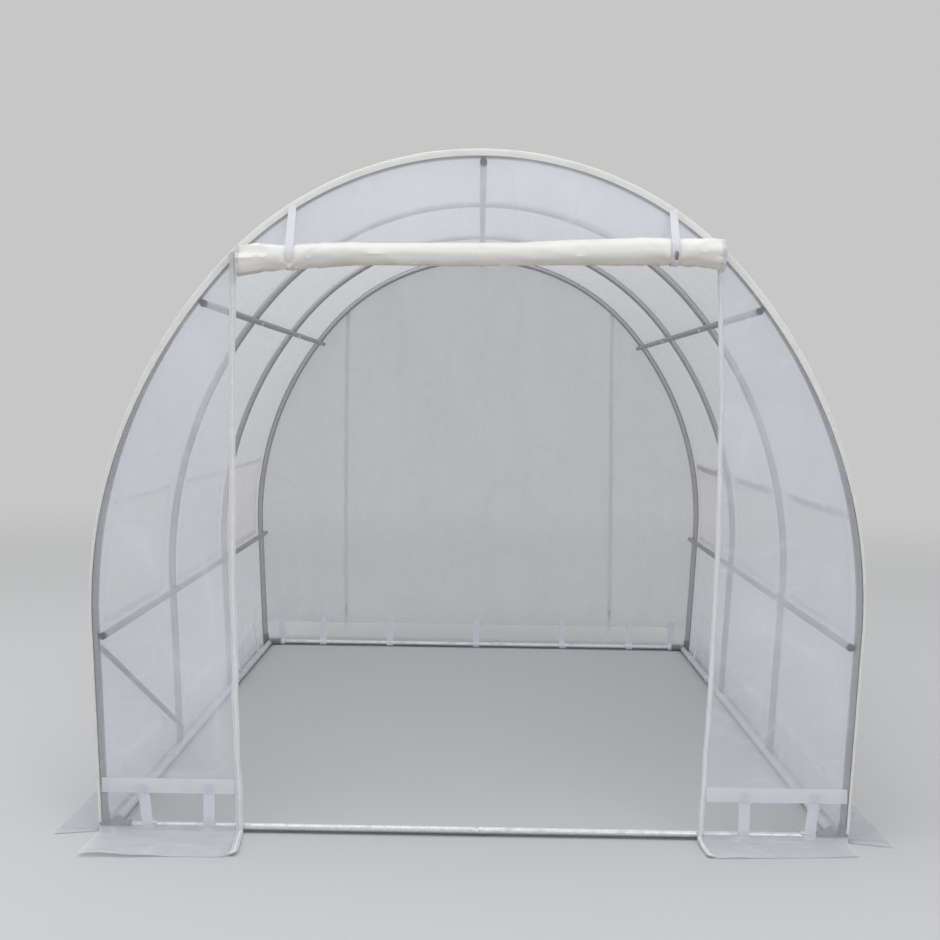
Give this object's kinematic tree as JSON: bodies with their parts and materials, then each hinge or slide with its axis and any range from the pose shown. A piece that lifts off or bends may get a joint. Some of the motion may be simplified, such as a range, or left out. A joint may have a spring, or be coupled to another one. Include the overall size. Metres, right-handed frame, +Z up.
{
  "type": "polytunnel greenhouse",
  "caption": "Walk-in polytunnel greenhouse: bent steel hoops, long rails and a ground frame under translucent film, with a rolled-up zip door and netted side windows.",
  "frame": {"origin": "on the ground, in the middle of the tunnel's plan", "axes": "+X across the tunnel to its right as seen from the open door, +Y along the tunnel away from the open door, +Z up"},
  "size_m": [2.179, 3.4326, 1.7791],
  "materials": {
    "galvanised_steel": "galvanised, satin, a little dull",
    "black_plastic": "moulded, matt",
    "cover_film": "translucent polythene film, creased, milky",
    "rolled_film": "the same film in many layers, cream white",
    "insect_net": "fine woven mesh, see-through",
    "white_webbing": "white tape, woven, matt"
  },
  "bodies": {
    "root": {"base_rail_left": "galvanised_steel", "base_rail_right": "galvanised_steel", "base_tube_front": "galvanised_steel", "base_tube_rear": "galvanised_steel", "corner_brace": "galvanised_steel", "corner_connectors_front": "black_plastic", "corner_connectors_rear": "black_plastic", "cover_roof": "cover_film", "cover_wall_left": "cover_film", "cover_wall_right": "cover_film", "door_roll": "rolled_film", "door_roll_straps": "white_webbing", "front_crescent": "cover_film", "front_panel_left": "cover_film", "front_panel_right": "cover_film", "front_zips": "white_webbing", "hem_bands": "cover_film", "hoop_foot_plugs": "black_plastic", "hoop_front": "galvanised_steel", "hoop_rear": "galvanised_steel", "hoop_second": "galvanised_steel", "hoop_third": "galvanised_steel", "rail_end_caps_front": "black_plastic", "rail_end_caps_rear": "black_plastic", "rear_crescent": "cover_film", "rear_door": "cover_film", "rear_panel_left": "cover_film", "rear_panel_right": "cover_film", "rear_zips": "white_webbing", "ridge_rail": "galvanised_steel", "shoulder_rail_left": "galvanised_steel", "shoulder_rail_right": "galvanised_steel", "skirts_front": "cover_film", "skirts_rear": "cover_film", "skirts_side": "cover_film", "tie_straps_front": "white_webbing", "tie_straps_rear": "white_webbing", "tie_straps_side": "white_webbing", "waist_rail_left": "galvanised_steel", "waist_rail_right": "galvanised_steel", "window_flaps_left": "cover_film", "window_nets_left": "insect_net", "window_nets_right": "insect_net", "window_rolls_right": "rolled_film", "window_ties_right": "white_webbing"}
  },
  "joints": []
}
